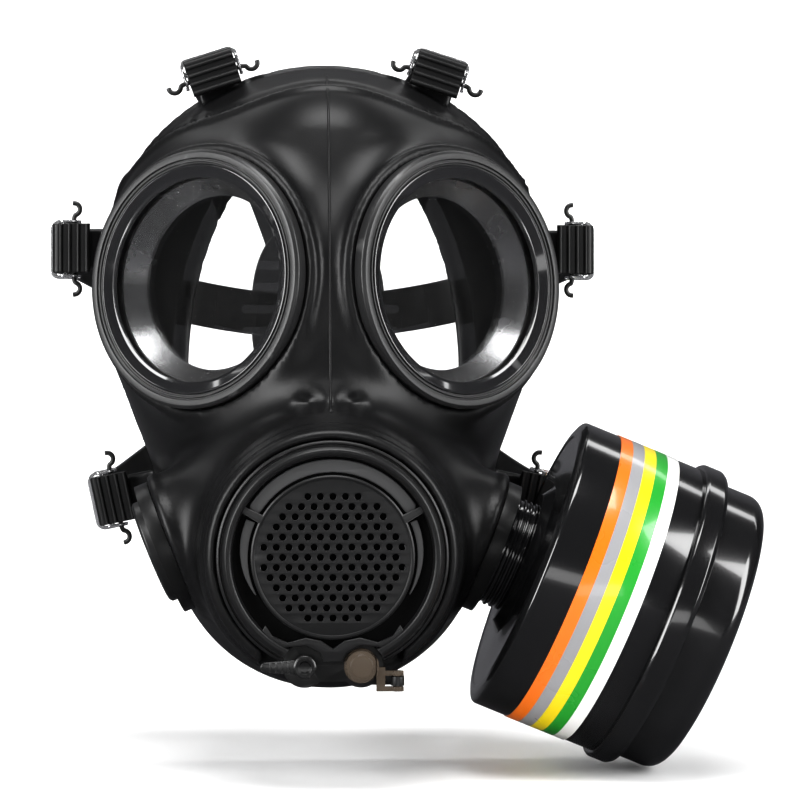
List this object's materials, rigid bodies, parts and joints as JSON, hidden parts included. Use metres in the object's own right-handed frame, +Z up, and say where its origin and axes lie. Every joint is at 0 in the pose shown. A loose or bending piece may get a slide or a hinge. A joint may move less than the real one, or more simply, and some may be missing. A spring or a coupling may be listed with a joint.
{
  "type": "full face respirator mask",
  "caption": "Black rubber full-face smoke and gas mask with round eyepieces, speech and exhale unit, drinking fittings, buckled head harness and a screw-on side filter canister.",
  "frame": {"origin": "centre of the face opening, level with the wearer's eyes to mouth middle, on the plane of the rear edge", "axes": "+X to the wearer's left, -Y out of the front of the mask, +Z up; +Y points back into the wearer's head"},
  "size_m": [0.2565, 0.2378, 0.2611],
  "materials": {
    "mask_rubber": "satin black moulded rubber",
    "seal_rubber": "smooth matt black rubber",
    "bezel": "dark satin",
    "lens": "clear polished",
    "gasket": "matt",
    "frame_plastic": "satin",
    "cover_plastic": "satin black moulding",
    "housing_plastic": "satin",
    "diaphragm_film": "thin film",
    "diaphragm_metal": "anodised",
    "valve_rubber": "soft",
    "lever_plastic": "gloss",
    "smoke_cap": "smoky translucent moulding",
    "straw_rubber": "smooth",
    "port_plastic": "satin",
    "cap_plastic": "satin",
    "canister_black": "gloss black",
    "label_print": "printed colour bands under film",
    "grid_plastic": "plain",
    "carbon": "packed granules",
    "filter_paper": "pleated glass paper",
    "nose_cup_rubber": "soft matt",
    "buckle_chrome": "polished",
    "pin_wire": "black wire",
    "strap_rubber": "ribbed"
  },
  "bodies": {
    "root": {"buckle_pins": "pin_wire", "cup_valve_seats": "housing_plastic", "diaphragm_frame": "diaphragm_metal", "diaphragm_washer": "diaphragm_metal", "drink_block": "housing_plastic", "drink_straw": "straw_rubber", "exhale_valve_seat": "housing_plastic", "face_seal": "seal_rubber", "facepiece": "mask_rubber", "front_housing": "housing_plastic", "head_harness": "strap_rubber", "lens_bezel_left": "bezel", "lens_bezel_right": "bezel", "lens_frame_left": "frame_plastic", "lens_frame_right": "frame_plastic", "lens_gasket_left": "gasket", "lens_gasket_right": "gasket", "lens_left": "lens", "lens_right": "lens", "nose_cup": "nose_cup_rubber", "port_socket_left": "port_plastic", "port_socket_right": "port_plastic", "speech_cover": "cover_plastic", "speech_diaphragm": "diaphragm_film"},
    "exhale_valve": {"exhale_valve_disc": "valve_rubber"},
    "drink_lever": {"drink_lever": "lever_plastic"},
    "drink_cap": {"drink_cap": "smoke_cap"},
    "cap_washer": {"cap_washer": "gasket"},
    "blanking_cap": {"blanking_cap": "cap_plastic"},
    "filter_washer": {"filter_washer": "gasket"},
    "filter": {"filter_shell": "canister_black", "filter_end_cap": "canister_black", "filter_seam_ring": "canister_black", "filter_label": "label_print", "filter_grid_near": "grid_plastic", "filter_grid_far": "grid_plastic", "carbon_bed": "carbon", "particle_pleats": "filter_paper"},
    "port_valve_right": {"port_valve_disc_right": "valve_rubber"},
    "cup_valve_right": {"cup_valve_disc_right": "valve_rubber"},
    "buckle_top_right": {"buckle_top_right": "buckle_chrome", "strap_loop_top_right": "strap_rubber"},
    "buckle_temple_right": {"buckle_temple_right": "buckle_chrome", "strap_loop_temple_right": "strap_rubber"},
    "buckle_lower_right": {"buckle_lower_right": "buckle_chrome", "strap_loop_lower_right": "strap_rubber"},
    "port_valve_left": {"port_valve_disc_left": "valve_rubber"},
    "cup_valve_left": {"cup_valve_disc_left": "valve_rubber"},
    "buckle_top_left": {"buckle_top_left": "buckle_chrome", "strap_loop_top_left": "strap_rubber"},
    "buckle_temple_left": {"buckle_temple_left": "buckle_chrome", "strap_loop_temple_left": "strap_rubber"},
    "buckle_lower_left": {"buckle_lower_left": "buckle_chrome", "strap_loop_lower_left": "strap_rubber"}
  },
  "joints": [
    {"name": "exhale_valve_lift", "type": "slide", "parent": "root", "child": "exhale_valve", "axis": [0, -1, 0], "range_m": [0, 0.0015], "stiffness_N_per_m": 30, "springref_m": -0.001},
    {"name": "drink_lever_turn", "type": "hinge", "parent": "root", "child": "drink_lever", "pos_m": [-0.0094, -0.118, -0.097], "axis": [0, -1, 0], "range_deg": [0, 90]},
    {"name": "drink_cap_open", "type": "hinge", "parent": "root", "child": "drink_cap", "pos_m": [0.0215, -0.1252, -0.102], "axis": [0, 0, 1], "range_deg": [0, 120]},
    {"name": "port_valve_right_lift", "type": "slide", "parent": "root", "child": "port_valve_right", "axis": [0.9252, 0, 0.3795], "range_m": [0, 0.0012], "stiffness_N_per_m": 30, "springref_m": -0.001},
    {"name": "cup_valve_right_lift", "type": "slide", "parent": "root", "child": "cup_valve_right", "axis": [0.7547, 0.3132, -0.5765], "range_m": [0, 0.001], "stiffness_N_per_m": 20, "springref_m": -0.001},
    {"name": "cap_withdraw", "type": "slide", "parent": "root", "child": "cap_washer", "axis": [-0.9252, 0, -0.3795], "range_m": [0, 0.01089]},
    {"name": "cap_unscrew", "type": "hinge", "parent": "cap_washer", "child": "blanking_cap", "pos_m": [-0.0595, -0.066, -0.0615], "axis": [-0.9252, 0, -0.3795], "range_deg": [0, 1082]},
    {"name": "buckle_top_right_swing", "type": "hinge", "parent": "root", "child": "buckle_top_right", "pos_m": [-0.0416, -0.02, 0.1115], "axis": [0.9511, 0, 0.309], "range_deg": [-5, 6]},
    {"name": "buckle_temple_right_swing", "type": "hinge", "parent": "root", "child": "buckle_temple_right", "pos_m": [-0.094, -0.003, 0.048], "axis": [0, 0, 1], "range_deg": [-5, 15]},
    {"name": "buckle_lower_right_swing", "type": "hinge", "parent": "root", "child": "buckle_lower_right", "pos_m": [-0.0785, -0.0035, -0.0455], "axis": [-0.2079, 0, 0.9781], "range_deg": [-5, 15]},
    {"name": "port_valve_left_lift", "type": "slide", "parent": "root", "child": "port_valve_left", "axis": [-0.9252, 0, 0.3795], "range_m": [0, 0.0012], "stiffness_N_per_m": 30, "springref_m": -0.001},
    {"name": "cup_valve_left_lift", "type": "slide", "parent": "root", "child": "cup_valve_left", "axis": [-0.7547, 0.3132, -0.5765], "range_m": [0, 0.001], "stiffness_N_per_m": 20, "springref_m": -0.001},
    {"name": "filter_withdraw", "type": "slide", "parent": "root", "child": "filter_washer", "axis": [0.9252, 0, -0.3795], "range_m": [0, 0.01089]},
    {"name": "filter_unscrew", "type": "hinge", "parent": "filter_washer", "child": "filter", "pos_m": [0.0595, -0.066, -0.0615], "axis": [0.9252, 0, -0.3795], "range_deg": [0, 1082]},
    {"name": "buckle_top_left_swing", "type": "hinge", "parent": "root", "child": "buckle_top_left", "pos_m": [0.0416, -0.02, 0.1115], "axis": [0.9511, 0, -0.309], "range_deg": [-5, 6]},
    {"name": "buckle_temple_left_swing", "type": "hinge", "parent": "root", "child": "buckle_temple_left", "pos_m": [0.094, -0.003, 0.048], "axis": [0, 0, -1], "range_deg": [-5, 15]},
    {"name": "buckle_lower_left_swing", "type": "hinge", "parent": "root", "child": "buckle_lower_left", "pos_m": [0.0785, -0.0035, -0.0455], "axis": [-0.2079, 0, -0.9781], "range_deg": [-5, 15]}
  ],
  "couplings": [
    {"joint": "filter_unscrew", "follows": "filter_withdraw", "rad_per_m": 1730.9},
    {"joint": "cap_unscrew", "follows": "cap_withdraw", "rad_per_m": 1730.9}
  ]
}
